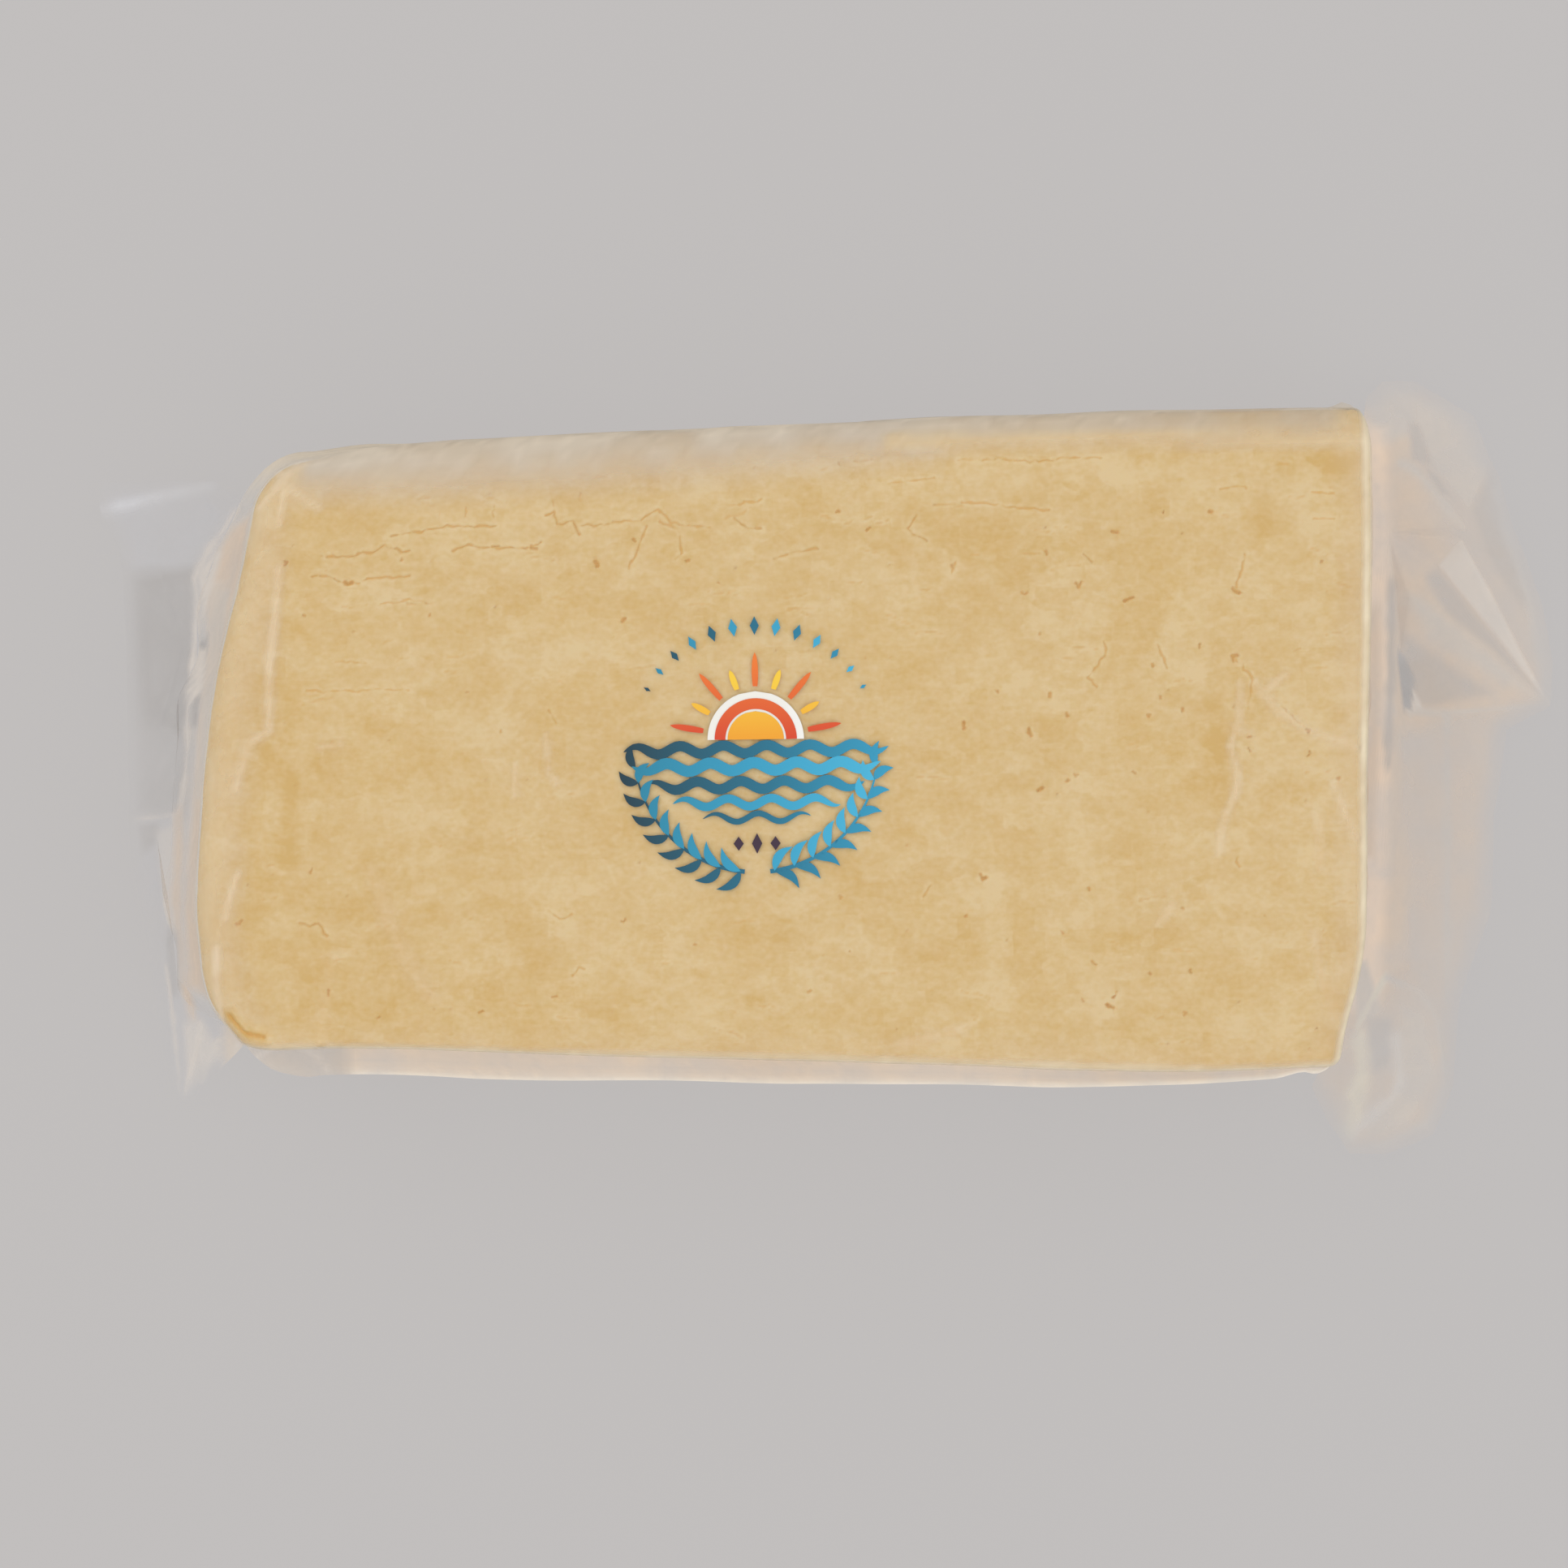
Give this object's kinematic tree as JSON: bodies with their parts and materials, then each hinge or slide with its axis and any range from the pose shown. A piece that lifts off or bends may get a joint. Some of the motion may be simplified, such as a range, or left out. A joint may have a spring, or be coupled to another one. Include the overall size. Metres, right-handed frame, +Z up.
{
  "type": "halloumi block",
  "caption": "Block of firm yellow cheese sealed in a clear vacuum pouch, lying flat, with crumpled film past both ends and a seam along one side.",
  "frame": {"origin": "centre of the block's resting face", "axes": "+X along the block towards its cut end, +Y across it towards the slumped long edge, away from the seam, +Z up from the resting face"},
  "size_m": [0.2765, 0.1476, 0.038],
  "materials": {
    "film": "clear polyamide and polyethylene vacuum film, glossy, creased",
    "cheese": "moist, springy, unripened cheese with small curd holes",
    "print": "flexographic ink on the film"
  },
  "bodies": {
    "root": {"sealed_pouch": "film"}
  },
  "joints": []
}
